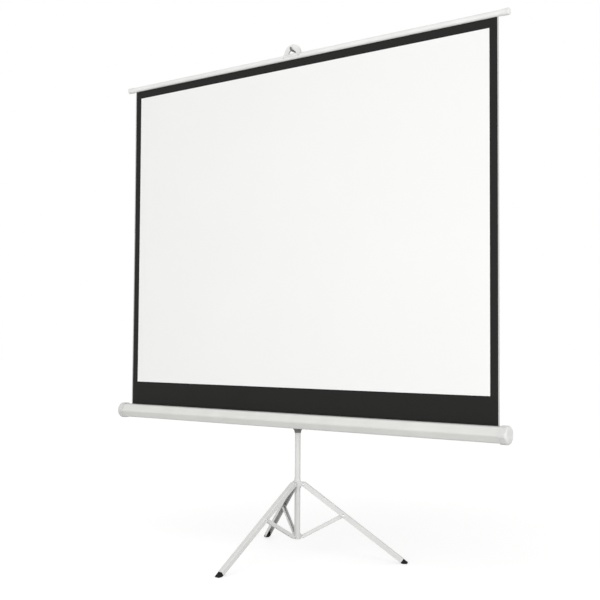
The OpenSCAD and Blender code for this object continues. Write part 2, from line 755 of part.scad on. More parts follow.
module rod_socket() {
    color(shade) at_case() translate([cap_out - cap_end - boss_len, 0, 0]) along_x()
        ring(2 * bearing_r - 0.04, rod_d + 0.04, boss_len);
}

module spring_rod() {
    flat = rod_d * 0.7;
    color(steel) at_case() difference() {
        translate([roller_half - rod_len, 0, 0]) along_x() cylinder(d = rod_d, h = rod_len + boss_len + 7);
        for (m = [0, 1]) mirror([0, 0, m])
            translate([roller_half + boss_len, -rod_d, flat / 2]) cube([rod_d * 2, rod_d * 2, rod_d]);
    }
}

module spring_anchor() {
    plug_r = roller_d / 2 - roller_wall - 0.05;
    color(shade) at_case() translate([roller_half - rod_len + 2, 0, 0]) along_x()
        ring(2 * plug_r, rod_d + 2 * run_gap, 24);
}

// One unbroken wire, wound from the anchor to the spring plug
module roller_spring() {
    sides = 6;
    rings_per_turn = 8;
    coil_r = (rod_d / 2 + roller_d / 2 - roller_wall) / 2;
    start = roller_half - rod_len + 26 + wire_d / 2 + side_gap;
    room = rod_len - 30 - 26 - wire_d - 2 * side_gap;
    pitch = room / spring_turns;
    count = spring_turns * rings_per_turn;
    rings = [for (i = [0:count]) coil_ring(i / rings_per_turn, pitch, coil_r, wire_d / 2, sides)];
    points = [for (r = rings, p = r) p];
    walls = [for (i = [0:count - 1], j = [0:sides - 1], h = [0, 1])
        let (a = i * sides + j, b = i * sides + (j + 1) % sides)
        h == 0 ? [a, a + sides, b] : [b, a + sides, b + sides]];
    gap = min([for (a = rings[0], b = rings[rings_per_turn]) norm(a - b)]);
    echo(str("Least gap between the spring's turns: ", gap, " mm"));
    lids = [[for (j = [0:sides - 1]) j], [for (j = [sides - 1:-1:0]) count * sides + j]];
    color(steel) at_case() translate([start, 0, 0]) polyhedron(points, concat(walls, lids), convexity = 10);
}

// Cloth and batten

module screen_sheet() {
    rod_low = batten_z - batten_d / 2 + batten_wall;
    color(white) at_cloth() translate([0, 0, picture_z + seam_gap])
        cube([sheet_w, cloth_t, rod_low - picture_z - seam_gap]);
}

module drop_band() {
    color(dark) at_cloth() translate([0, 0, case_z])
        cube([sheet_w, cloth_t, picture_z - case_z]);
}

module hem_rod() {
    color(shade) at_batten() translate([-sheet_w / 2, 0, -batten_d / 2 + batten_wall + hem_rod_d / 2 + 0.2])
        along_x() cylinder(d = hem_rod_d, h = sheet_w);
}

module batten_tube() {
    half = sheet_w / 2 + batten_overhang - 4;
    color(paint) at_batten() difference() {
        translate([-half, 0, 0]) along_x() ring(batten_d, batten_d - 2 * batten_wall, 2 * half);
        translate([-half - 1, -batten_slot / 2, -batten_d]) cube([2 * half + 2, batten_slot, batten_d]);
    }
}

module batten_caps() {
    out = sheet_w / 2 + batten_overhang;
    cap_r = batten_d / 2 + batten_cap_wall;
    color(white) at_batten() mirror_pair() translate([out - batten_cap_len, 0, 0]) along_x() difference() {
        union() {
            cylinder(r1 = cap_r - 0.6, r2 = cap_r, h = 0.6);
            translate([0, 0, 0.6]) cylinder(r = cap_r, h = batten_cap_len - 4.6);
            translate([0, 0, batten_cap_len - 4]) rotate_extrude() polygon(concat([[0, 0]],
                [for (t = [0:15:90]) [cap_r - 4 * (1 - cos(t)), 4 * sin(t)]], [[0, 4]]));
        }
        translate([0, 0, -1]) cylinder(r = batten_d / 2 + 0.05, h = batten_cap_len - 2.9);
    }
}

// A flat arch that stands on a saddle clipped over the batten
module pull_handle() {
    seat_r = batten_d / 2 + 0.1;
    color(white) at_batten() difference() {
        union() {
            translate([0, -arch_t / 2, arch_z - batten_z]) along_y() linear_extrude(arch_t) difference() {
                circle(r = arch_r);
                circle(r = arch_r - arch_bar);
                translate([-2 * arch_r, 0]) square([4 * arch_r, 2 * arch_r]);
            }
            difference() {
                translate([-arch_r, 0, 0]) along_x() cylinder(r = seat_r + saddle_wall, h = 2 * arch_r);
                translate([-arch_r - 1, -batten_d, -batten_d - 1])
                    cube([2 * arch_r + 2, 2 * batten_d, batten_d]);
            }
        }
        translate([-2 * arch_r, 0, 0]) along_x() cylinder(r = seat_r, h = 4 * arch_r);
        for (x = [-1, 1]) translate([x * (arch_r - 4), 0, 0]) along_y() translate([0, 0, -batten_d])
            cylinder(d = 3.2, h = 2 * batten_d);
    }
}

module handle_screws() {
    head_y = batten_d / 2 + saddle_wall + 0.1;
    color(steel) at_batten() for (x = [-1, 1], m = [0, 1]) mirror([0, m, 0])
        translate([x * (arch_r - 4), head_y, 0]) along_y() {
            translate([0, 0, -saddle_wall - 0.1]) cylinder(d = 3, h = saddle_wall + 0.1 + eps);
            cylinder(d1 = 6, d2 = 4, h = 1.4);
        }
}

mast_tube();
mast_plug();
base_collar();
collar_pins();
mast_bush();
mast_lock_collar();
mast_lock_knob();
upper_mast_tube();
upper_mast_bush();
mast_hook();
tripod_hub();
hub_pins();
leg(0);  // leg_front
leg(1);  // leg_right
leg(2);  // leg_left
foot(0);  // foot_front
foot(1);  // foot_right
foot(2);  // foot_left
strut(0);  // strut_front
strut(1);  // strut_right
strut(2);  // strut_left
strut_pin(0);  // strut_pin_front
strut_pin(1);  // strut_pin_right
strut_pin(2);  // strut_pin_left
strut_rivet(0);  // strut_rivet_front
strut_rivet(1);  // strut_rivet_right
strut_rivet(2);  // strut_rivet_left
slider();
slider_knob();
pivot_bolt();
carry_handle();
carry_handle_screws();
case_tube();
case_cap_left();
case_cap_right();
cap_screws();
case_bracket();
bracket_rivets();
roller_tube();
roller_idle_plug();
roller_spring_plug();
cloth_wraps();
spring_rod();
roller_spring();
spring_anchor();
idle_bearing();
rod_socket();
screen_sheet();
drop_band();
hem_rod();
batten_tube();
batten_caps();
pull_handle();
handle_screws();
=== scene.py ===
import json
import math

import bpy
from mathutils import Matrix, Vector


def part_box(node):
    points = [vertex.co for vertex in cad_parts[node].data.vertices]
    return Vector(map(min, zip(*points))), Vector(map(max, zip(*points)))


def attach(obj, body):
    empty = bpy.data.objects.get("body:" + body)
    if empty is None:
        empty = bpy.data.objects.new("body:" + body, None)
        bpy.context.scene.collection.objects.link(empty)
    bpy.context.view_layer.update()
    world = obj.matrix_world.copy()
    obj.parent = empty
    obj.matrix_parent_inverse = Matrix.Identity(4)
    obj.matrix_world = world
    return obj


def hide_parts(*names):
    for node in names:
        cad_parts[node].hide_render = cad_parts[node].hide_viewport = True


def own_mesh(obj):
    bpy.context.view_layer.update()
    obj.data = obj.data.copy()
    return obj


bl_info = {
    "name": "Tripod projection screen",
    "version": (1, 0, 0),
    "blender": (4, 5, 0),
    "location": "3D View > Sidebar > Screen",
    "description": "Dresses a tripod projection screen with its cloth, finishes and studio",
    "category": "Object",
}

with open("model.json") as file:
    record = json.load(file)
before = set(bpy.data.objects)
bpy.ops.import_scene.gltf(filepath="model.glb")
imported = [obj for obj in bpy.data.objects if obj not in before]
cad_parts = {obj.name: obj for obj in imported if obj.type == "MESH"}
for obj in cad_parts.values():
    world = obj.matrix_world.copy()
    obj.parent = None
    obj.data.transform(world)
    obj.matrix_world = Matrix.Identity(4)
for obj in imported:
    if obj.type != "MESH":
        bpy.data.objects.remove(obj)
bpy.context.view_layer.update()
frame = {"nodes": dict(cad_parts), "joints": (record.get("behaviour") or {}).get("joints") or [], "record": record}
NODES = frame["nodes"]
SHEET_LOW, SHEET_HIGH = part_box("screen_sheet")
BAND_LOW, BAND_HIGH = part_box("drop_band")
WRAP_LOW, WRAP_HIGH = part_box("cloth_wraps")

# Cloth, in metres
CLOTH_THICKNESS = 0.0005
THREAD_PITCH = 0.0011
BACKING_PITCH = 0.0013
PRINT_BLUR = 0.0002
PICTURE_GRID = (96, 72)
BAND_GRID = (64, 10)
SMOOTH_ANGLE = math.radians(40)

# Cloth left on the roller, in metres
WOUND_TURNS = 2
WOUND_STEPS = 32
WOUND_COLUMNS = 8
WOUND_THICKNESS = 0.0004
WOUND_CLEARANCE = 0.0003
WOUND_BUILD_UP = 0.0011

# Studio: a lamp has a name, the setting of its power, a place, an aim and a size
SENSOR_WIDTH = 36.0
VIEW_LIMIT = 100.0
WALL_TINT = (1.0, 1.0, 0.99, 1.0)
FLOOR_SIZE = 60.0
FLOOR_DROP = 0.0006
FLOOR_GREY = (0.50, 0.50, 0.50, 1.0)
# The floor glows less within this reach of the object: a painted shade round the object, on top of its real shadow
FLOOR_PAINTED_SHADE_REACH = (0.6, 2.5)
FLOOR_GLOW = (0.63, 0.72)
LAMPS = (
    ("key light", "key", (0.9, -5.0, 1.6), (0.0, 0.0, 1.0), (4.0, 3.0)),
    ("side light", "side", (4.5, -0.6, 1.0), (0.0, 0.0, 0.8), (2.0, 2.0)),
    ("fill light", "fill", (-3.5, -1.5, 1.2), (-0.9, 0.0, 0.6), (1.5, 1.5)),
)


# Shader wiring

class Wire:
    """A node's output that adds Math nodes when it is used in an expression."""

    def __init__(self, finish, socket):
        self.finish = finish
        self.socket = socket

    def _math(self, operation, first, second):
        out = self.finish.node("ShaderNodeMath", {"operation": operation}, {0: first, 1: second})
        return out["Value"]

    def __add__(self, other):
        return self._math("ADD", self, other)

    __radd__ = __add__

    def __sub__(self, other):
        return self._math("SUBTRACT", self, other)

    def __rsub__(self, other):
        return self._math("SUBTRACT", other, self)

    def __mul__(self, other):
        return self._math("MULTIPLY", self, other)

    def least(self, other):
        return self._math("MINIMUM", self, other)

    def sine(self):
        return self._math("SINE", self, 0.0)

    def ramp(self, low, high):
        """0 below low, 1 above high, smooth between."""
        out = self.finish.node(
            "ShaderNodeMapRange",
            {"interpolation_type": "SMOOTHSTEP", "clamp": True},
            {"Value": self, "From Min": low, "From Max": high, "To Min": 0.0, "To Max": 1.0},
        )
        return out["Result"]

    def past(self, edge):
        """0 before a printed edge, 1 past it."""
        return self.ramp(edge - PRINT_BLUR, edge + PRINT_BLUR)


class Finish:
    """One procedural material under construction."""

    def __init__(self, name):
        self.material = bpy.data.materials.new(name)
        self.material.use_nodes = True
        self.tree = self.material.node_tree
        self.tree.nodes.clear()
        self.output = self.tree.nodes.new("ShaderNodeOutputMaterial")
        self.shader = self.tree.nodes.new("ShaderNodeBsdfPrincipled")
        self.tree.links.new(self.shader.outputs["BSDF"], self.output.inputs["Surface"])

    def connect(self, node, sockets):
        """Sets or links a node's inputs."""
        for key, value in sockets.items():
            if isinstance(value, Wire):
                self.tree.links.new(value.socket, node.inputs[key])
            else:
                node.inputs[key].default_value = value

    def node(self, kind, settings=None, sockets=None):
        """Adds a node with its settings and inputs. Returns its outputs by name."""
        made = self.tree.nodes.new(kind)
        for key, value in (settings or {}).items():
            setattr(made, key, value)
        self.connect(made, sockets or {})
        return {out.name: Wire(self, out) for out in made.outputs if out.enabled}

    def place(self):
        """Object coordinates, in metres."""
        return self.node("ShaderNodeTexCoord")["Object"]

    def cloth_place(self, width, height):
        """Distances along and up a cloth's own map, in metres."""
        uv = self.node("ShaderNodeUVMap", {"uv_map": "cloth"})["UV"]
        across, up, _ = self.split(uv)
        return across * width, up * height

    def split(self, vector):
        parts = self.node("ShaderNodeSeparateXYZ", None, {"Vector": vector})
        return parts["X"], parts["Y"], parts["Z"]

    def stretch(self, vector, scale):
        return self.node("ShaderNodeMapping", None, {"Vector": vector, "Scale": scale})["Vector"]

    def noise(self, vector, scale, detail=3.0, rough=0.55):
        out = self.node(
            "ShaderNodeTexNoise",
            {"noise_dimensions": "3D"},
            {"Vector": vector, "Scale": scale, "Detail": detail, "Roughness": rough},
        )
        return out["Fac"]

    def mix(self, first, second, share):
        """One colour blended into another; sockets 0, 6 and 7 are the factor and the colours."""
        out = self.node(
            "ShaderNodeMix",
            {"data_type": "RGBA", "clamp_factor": True},
            {0: share, 6: first, 7: second},
        )
        return out["Result"]

    def bump(self, height, depth):
        out = self.node(
            "ShaderNodeBump", None, {"Strength": 1.0, "Distance": depth, "Height": height})
        return out["Normal"]

    def feed(self, **sockets):
        """Sets or links the shader's inputs; an underscore stands for a space."""
        self.connect(self.shader, {key.replace("_", " "): v for key, v in sockets.items()})
        return self.material


def rgba(colour):
    return (colour[0], colour[1], colour[2], 1.0)


def shade_of(colour, factor):
    return tuple(min(1.0, c * factor) for c in colour[:3]) + (1.0,)


# Finishes

def enamel(name, colour, gloss, grain):
    """Sprayed enamel on sheet steel: a fine orange peel, faint clouding and a clear coat."""
    f = Finish(name)
    p = f.place()
    cloud = f.noise(p, 9.0, detail=2.0)
    peel = f.noise(p, 900.0, detail=2.0, rough=0.5)
    speck = f.noise(p, 260.0, detail=4.0, rough=0.6).ramp(0.70, 0.78)
    tone = f.mix(shade_of(colour, 0.965), shade_of(colour, 1.02), cloud.ramp(0.3, 0.7))
    tone = f.mix(tone, shade_of(colour, 0.90), speck * 0.35)
    return f.feed(
        Base_Color=tone,
        Roughness=gloss + (cloud - 0.5) * 0.10 + speck * 0.08,
        Normal=f.bump(peel, grain),
        Specular_IOR_Level=0.45,
        Coat_Weight=0.18,
        Coat_Roughness=0.22,
    )


def moulded(name, colour, gloss, grain, pit_scale):
    """Moulded plastic with a spark-eroded grain."""
    f = Finish(name)
    p = f.place()
    pits = f.noise(p, pit_scale, rough=0.6)
    cloud = f.noise(p, 30.0, detail=2.0)
    tone = f.mix(shade_of(colour, 0.94), shade_of(colour, 1.04), cloud.ramp(0.3, 0.7))
    tone = f.mix(tone, shade_of(colour, 0.86), pits.ramp(0.62, 0.78) * 0.5)
    return f.feed(
        Base_Color=tone,
        Roughness=gloss + (pits - 0.5) * 0.18,
        Normal=f.bump(pits, grain),
        Specular_IOR_Level=0.4,
    )


def rubber(name, colour):
    """Matt moulded rubber, dusty towards the floor and scuffed."""
    dust_colour = (0.06, 0.059, 0.055, 1.0)
    dust_height = 0.016
    f = Finish(name)
    p = f.place()
    height = f.split(p)[2]
    grain = f.noise(p, 1400.0, detail=2.0)
    scuff = f.noise(p, 130.0, detail=5.0, rough=0.65)
    dust = (1.0 - height.ramp(0.0, dust_height)) * scuff.ramp(0.35, 0.7)
    return f.feed(
        Base_Color=f.mix(rgba(colour), dust_colour, dust * 0.4),
        Roughness=0.76 + scuff * 0.18,
        Normal=f.bump(grain, 0.00012),
        Specular_IOR_Level=0.15,
    )


def plated(name, colour, rough):
    """Zinc-plated steel with fine turning marks."""
    f = Finish(name)
    p = f.place()
    streak = f.noise(f.stretch(p, (1.0, 1.0, 9.0)), 420.0)
    bloom = f.noise(p, 60.0)
    tone = f.mix(shade_of(colour, 0.88), shade_of(colour, 1.08), bloom.ramp(0.3, 0.7))
    return f.feed(
        Base_Color=tone,
        Metallic=1.0,
        Roughness=rough + streak * 0.16,
        Normal=f.bump(streak, 0.00003),
    )


def weave_height(across, up, pitch):
    """Crossing threads as a height from 0 to 1."""
    turn = 2.0 * math.pi / pitch
    return ((across * turn).sine() * (up * turn).sine()) * 0.25 + 0.5


def picture_finish(s):
    """Matt white coated cloth with black borders printed on it and a bare selvedge."""
    width = SHEET_HIGH[0] - SHEET_LOW[0]
    height = SHEET_HIGH[2] - SHEET_LOW[2]
    f = Finish("screen white cloth")
    across, up = f.cloth_place(width, height)
    edge = across.least(width - across)
    inside = edge.past(s.selvedge + s.side_border)
    selvedge = 1.0 - edge.past(s.selvedge)
    below_top = 1.0 - up.past(s.picture_top - SHEET_LOW[2])
    white = inside * below_top
    p = f.place()
    cloud = f.noise(p, 2.2, detail=2.0)
    slub = f.noise(f.stretch(p, (40.0, 1.0, 700.0)), 1.0, detail=2.0)
    coat = f.mix(shade_of(s.cloth_white, 0.985), shade_of(s.cloth_white, 1.01), cloud)
    ink = f.mix(
        rgba(s.cloth_black), shade_of(s.cloth_black, 1.35), slub.ramp(0.45, 0.75) * 0.6)
    weave = weave_height(across, up, THREAD_PITCH)
    return f.feed(
        Base_Color=f.mix(f.mix(ink, coat, white), rgba(s.selvedge_grey), selvedge),
        Roughness=0.86 - (1.0 - white) * 0.12,
        Normal=f.bump(weave * 0.7 + slub * 0.3, 0.00006),
        Specular_IOR_Level=0.2,
    )


def band_finish(s):
    """The same cloth dyed black, with the weave just showing."""
    width = BAND_HIGH[0] - BAND_LOW[0]
    height = SHEET_LOW[2] - BAND_LOW[2]
    f = Finish("black drop cloth")
    across, up = f.cloth_place(width, height)
    edge = across.least(width - across)
    selvedge = 1.0 - edge.past(s.selvedge)
    p = f.place()
    slub = f.noise(f.stretch(p, (30.0, 1.0, 600.0)), 1.0, detail=2.0)
    fade = f.noise(p, 3.0, detail=2.0)
    ink = f.mix(
        rgba(s.cloth_black), shade_of(s.cloth_black, 1.4), slub.ramp(0.4, 0.75) * 0.7)
    ink = f.mix(ink, shade_of(s.cloth_black, 0.8), fade.ramp(0.45, 0.7) * 0.5)
    weave = weave_height(across, up, THREAD_PITCH)
    return f.feed(
        Base_Color=f.mix(ink, rgba(s.selvedge_grey), selvedge),
        Roughness=0.74 + slub * 0.1,
        Normal=f.bump(weave * 0.6 + slub * 0.4, 0.00008),
        Specular_IOR_Level=0.2,
    )


def backing_finish(s):
    """The cloth's black rubberised back, with the weave pressing through."""
    f = Finish("cloth backing")
    p = f.place()
    x, _, z = f.split(p)
    cloud = f.noise(p, 5.0)
    tone = f.mix(
        shade_of(s.cloth_black, 1.15), shade_of(s.cloth_black, 1.7), cloud.ramp(0.3, 0.7))
    return f.feed(
        Base_Color=tone,
        Roughness=0.8 + cloud * 0.1,
        Normal=f.bump(weave_height(x, z, BACKING_PITCH), 0.00008),
        Specular_IOR_Level=0.25,
    )


# Settings

class ScreenClothSettings(bpy.types.PropertyGroup):
    """Sizes and colours of the cloth."""

    selvedge: bpy.props.FloatProperty(
        name="Selvedge", description="Bare margin outside the side borders",
        default=0.005, min=0.0, unit="LENGTH")
    side_border: bpy.props.FloatProperty(
        name="Side border", description="Width of the black border at each side",
        default=0.030, min=0.0, unit="LENGTH")
    picture_top: bpy.props.FloatProperty(
        name="Picture top", description="Height of the picture's upper edge above the floor",
        default=1.951, min=0.5, unit="LENGTH")
    ripple: bpy.props.FloatProperty(
        name="Ripple", description="How far the hanging cloth leaves its plane",
        default=0.0012, min=0.0, max=0.003, unit="LENGTH")
    cloth_white: bpy.props.FloatVectorProperty(
        name="White", description="Colour of the picture area",
        default=(0.90, 0.90, 0.895), size=3, subtype="COLOR")
    selvedge_grey: bpy.props.FloatVectorProperty(
        name="Selvedge grey", description="Colour of the bare margin",
        default=(0.52, 0.52, 0.515), size=3, subtype="COLOR")
    cloth_black: bpy.props.FloatVectorProperty(
        name="Black", description="Colour of the borders and the drop band",
        default=(0.0105, 0.0105, 0.0099), size=3, subtype="COLOR")


class ScreenFinishSettings(bpy.types.PropertyGroup):
    """Colours of the hard pieces."""

    mast_paint: bpy.props.FloatVectorProperty(
        name="Mast paint", description="Enamel of the mast tubes",
        default=(0.68, 0.684, 0.67), size=3, subtype="COLOR")
    leg_paint: bpy.props.FloatVectorProperty(
        name="Leg paint", description="Enamel of the legs and struts",
        default=(0.68, 0.684, 0.67), size=3, subtype="COLOR")
    case_paint: bpy.props.FloatVectorProperty(
        name="Case paint", description="Enamel of the case",
        default=(0.705, 0.708, 0.68), size=3, subtype="COLOR")
    batten_paint: bpy.props.FloatVectorProperty(
        name="Batten paint", description="Enamel of the top batten",
        default=(0.84, 0.845, 0.83), size=3, subtype="COLOR")
    grey_plastic: bpy.props.FloatVectorProperty(
        name="Grey plastic", description="Moulded fittings and case end caps",
        default=(0.665, 0.67, 0.655), size=3, subtype="COLOR")
    white_plastic: bpy.props.FloatVectorProperty(
        name="White plastic", description="Pull handle and batten end caps",
        default=(0.80, 0.80, 0.79), size=3, subtype="COLOR")
    # Dark plastic is partly the slider's and hook's own colour and partly painted shade: the shade under the case
    # and in the pull handle's opening
    dark_plastic: bpy.props.FloatVectorProperty(
        name="Dark plastic", description="Slider and hook",
        default=(0.15, 0.15, 0.148), size=3, subtype="COLOR")
    black_plastic: bpy.props.FloatVectorProperty(
        name="Black plastic", description="Knobs and carrying handle",
        default=(0.022, 0.022, 0.022), size=3, subtype="COLOR")
    rubber: bpy.props.FloatVectorProperty(
        name="Rubber", description="Feet",
        default=(0.009, 0.009, 0.009), size=3, subtype="COLOR")
    steel: bpy.props.FloatVectorProperty(
        name="Steel", description="Pins, screws, rivets and rods",
        default=(0.60, 0.60, 0.59), size=3, subtype="COLOR")


class ScreenStageSettings(bpy.types.PropertyGroup):
    """Camera and light."""

    camera_place: bpy.props.FloatVectorProperty(
        name="Camera place", description="Where the camera stands",
        default=(2.2692, -3.00119, 0.85673), size=3, subtype="TRANSLATION")
    yaw: bpy.props.FloatProperty(
        name="Yaw", description="Turn of the camera to the left of +Y",
        default=math.radians(36.203), subtype="ANGLE")
    pitch: bpy.props.FloatProperty(
        name="Pitch", description="Tilt of the camera above the horizon",
        default=math.radians(2.475), subtype="ANGLE")
    roll: bpy.props.FloatProperty(
        name="Roll", description="Turn of the camera about its own axis",
        default=math.radians(0.353), subtype="ANGLE")
    lens: bpy.props.FloatProperty(
        name="Lens", description="Focal length on a 36 mm sensor, in millimetres",
        default=57.456, min=1.0)
    ambient: bpy.props.FloatProperty(
        name="Ambient", description="Brightness of the studio walls",
        default=0.60, min=0.0)
    key: bpy.props.FloatProperty(
        name="Key light", description="Power of the large soft light in front",
        default=130.0, min=0.0)
    side: bpy.props.FloatProperty(
        name="Side light", description="Power of the soft light at the right",
        default=72.0, min=0.0)
    fill: bpy.props.FloatProperty(
        name="Fill light", description="Power of the weak light at the left",
        default=8.0, min=0.0)


# Helpers for modelling

def deselect_all():
    if bpy.context.object and bpy.context.object.mode != "OBJECT":
        bpy.ops.object.mode_set(mode="OBJECT")
    bpy.ops.object.select_all(action="DESELECT")


def pick_only(piece):
    deselect_all()
    piece.select_set(True)
    bpy.context.view_layer.objects.active = piece


def settle(piece):
    """Puts the piece's place into its mesh."""
    pick_only(piece)
    bpy.ops.object.transform_apply(location=True, rotation=True, scale=True)


def thicken(piece, thickness):
    """Gives a sheet its thickness, with its second material on the back."""
    wall = piece.modifiers.new("thickness", "SOLIDIFY")
    wall.thickness = thickness
    wall.offset = 0.0
    wall.material_offset = len(piece.data.materials) - 1
    wall.material_offset_rim = 0
    pick_only(piece)
    bpy.ops.object.modifier_apply(modifier=wall.name)


def new_grid(name, columns, rows):
    """A flat grid of one metre, under the name of its piece."""
    deselect_all()
    bpy.ops.mesh.primitive_grid_add(x_subdivisions=columns, y_subdivisions=rows, size=1.0)
    piece = bpy.context.object
    piece.name = name
    piece.data.name = name
    return piece


def hanging_sheet(name, low, high, grid, front, back, offset):
    """A flat cloth in the xz plane, with a map that follows it, its front towards -y."""
    piece = new_grid(name, *grid)
    piece.rotation_euler = (math.pi / 2, 0.0, 0.0)
    piece.scale = (high.x - low.x, high.z - low.z, 1.0)
    piece.location = (low + high) / 2
    settle(piece)
    chart = piece.data.uv_layers[0]
    chart.name = "cloth"
    for loop in piece.data.loops:
        co = piece.data.vertices[loop.vertex_index].co
        chart.data[loop.index].uv = (
            (co.x - low.x) / (high.x - low.x),
            (co.z - low.z) / (high.z - low.z),
        )
    for v in piece.data.vertices:
        v.co.y += offset(v.co.x, v.co.z)
    piece.data.materials.append(front)
    piece.data.materials.append(back)
    thicken(piece, CLOTH_THICKNESS)
    bpy.ops.object.shade_smooth_by_angle(angle=SMOOTH_ANGLE)
    return piece


def travel_of(name):
    """The range of a sliding joint, in metres."""
    return next(joint["range_m"] for joint in frame["joints"] if joint["name"] == name)


# Operators

class SCREEN_OT_hard_finishes(bpy.types.Operator):
    """Gives every hard piece its enamel, plastic, rubber or plated finish"""

    bl_idname = "screen.hard_finishes"
    bl_label = "Finish the hard pieces"

    def execute(self, context):
        s = context.scene.screen_finish
        looks = {
            "mast_paint": enamel("mast enamel", s.mast_paint, 0.36, 0.00003),
            "leg_paint": enamel("leg enamel", s.leg_paint, 0.40, 0.00004),
            "case_paint": enamel("case enamel", s.case_paint, 0.42, 0.00004),
            "batten_paint": enamel("batten enamel", s.batten_paint, 0.40, 0.00003),
            "grey_plastic": moulded(
                "grey fittings plastic", s.grey_plastic, 0.48, 0.00005, 1500.0),
            "white_plastic": moulded(
                "white handle plastic", s.white_plastic, 0.40, 0.00003, 1200.0),
            # Slider and hook: dark plastic that also carries painted shade from under the case and inside the
            # handle's opening
            "dark_plastic": moulded(
                "slider plastic", s.dark_plastic, 0.50, 0.00006, 1200.0),
            "black_plastic": moulded(
                "black grip plastic", s.black_plastic, 0.50, 0.00008, 1100.0),
            "black_rubber": rubber("foot rubber", s.rubber),
            "steel": plated("plated steel", s.steel, 0.28),
        }
        for entry in frame["record"]["subparts"]:
            look = looks.get(entry["material_slot"])
            if look is None:
                continue
            piece = NODES[entry["node"]]
            piece.data.materials.clear()
            piece.data.materials.append(look)
        return {"FINISHED"}


class SCREEN_OT_picture_cloth(bpy.types.Operator):
    """Hangs the white picture cloth between the drop band and the batten"""

    bl_idname = "screen.picture_cloth"
    bl_label = "Hang the picture cloth"

    def execute(self, context):
        s = context.scene.screen_cloth
        low, high = Vector(SHEET_LOW), Vector(SHEET_HIGH)
        width, height = high.x - low.x, high.z - low.z

        def ripple(x, z):
            """Slow waves that die out at the held edges, and sides that curl a little."""
            across = (x - low.x) / width
            up = (z - low.z) / height
            held = math.sin(math.pi * up) ** 0.8 if 0.0 < up < 1.0 else 0.0
            curl = abs(2.0 * across - 1.0) ** 14
            wave = math.sin(9.0 * across + 1.3) * 0.5 + math.sin(17.0 * across + 2.0 * up) * 0.25
            return s.ripple * held * (wave * 0.7 + curl * 1.2)

        cloth = hanging_sheet(
            "picture_cloth", low, high, PICTURE_GRID, picture_finish(s), backing_finish(s), ripple)
        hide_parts("screen_sheet")
        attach(cloth, "stand")
        keep = (height + travel_of("mast_extend")[0]) / height
        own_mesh(cloth)
        return {"FINISHED"}


class SCREEN_OT_drop_band(bpy.types.Operator):
    """Hangs the black band from the picture's lower edge down into the case"""

    bl_idname = "screen.drop_band"
    bl_label = "Hang the drop band"

    def execute(self, context):
        s = context.scene.screen_cloth
        low, high = Vector(BAND_LOW), Vector(BAND_HIGH)
        high.z = SHEET_LOW[2]
        width, height = high.x - low.x, high.z - low.z
        band = hanging_sheet(
            "drop_cloth", low, high, BAND_GRID, band_finish(s),
            bpy.data.materials["cloth backing"], lambda x, z: 0.0)
        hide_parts("drop_band")
        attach(band, "stand")
        keep = (height - travel_of("slider_slide")[1]) / height
        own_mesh(band)
        return {"FINISHED"}


class SCREEN_OT_wound_cloth(bpy.types.Operator):
    """Winds the last turns of cloth on the roller"""

    bl_idname = "screen.wound_cloth"
    bl_label = "Wind the cloth on the roller"

    def execute(self, context):
        low, high = Vector(WRAP_LOW), Vector(WRAP_HIGH)
        centre = (low + high) / 2
        outer = (high.z - low.z) / 2 - WOUND_CLEARANCE
        inner = outer - WOUND_BUILD_UP
        roll = new_grid("wound_cloth", WOUND_COLUMNS, WOUND_TURNS * WOUND_STEPS)
        for v in roll.data.vertices:
            along, share = v.co.x, v.co.y + 0.5
            angle = share * WOUND_TURNS * 2.0 * math.pi
            radius = inner + (outer - inner) * share
            v.co = (
                centre.x + along * (high.x - low.x),
                centre.y + radius * math.cos(angle),
                centre.z - radius * math.sin(angle),
            )
        roll.data.uv_layers[0].name = "cloth"
        roll.data.materials.append(bpy.data.materials["cloth backing"])
        thicken(roll, WOUND_THICKNESS)
        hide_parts("cloth_wraps")
        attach(roll, "roller")
        return {"FINISHED"}


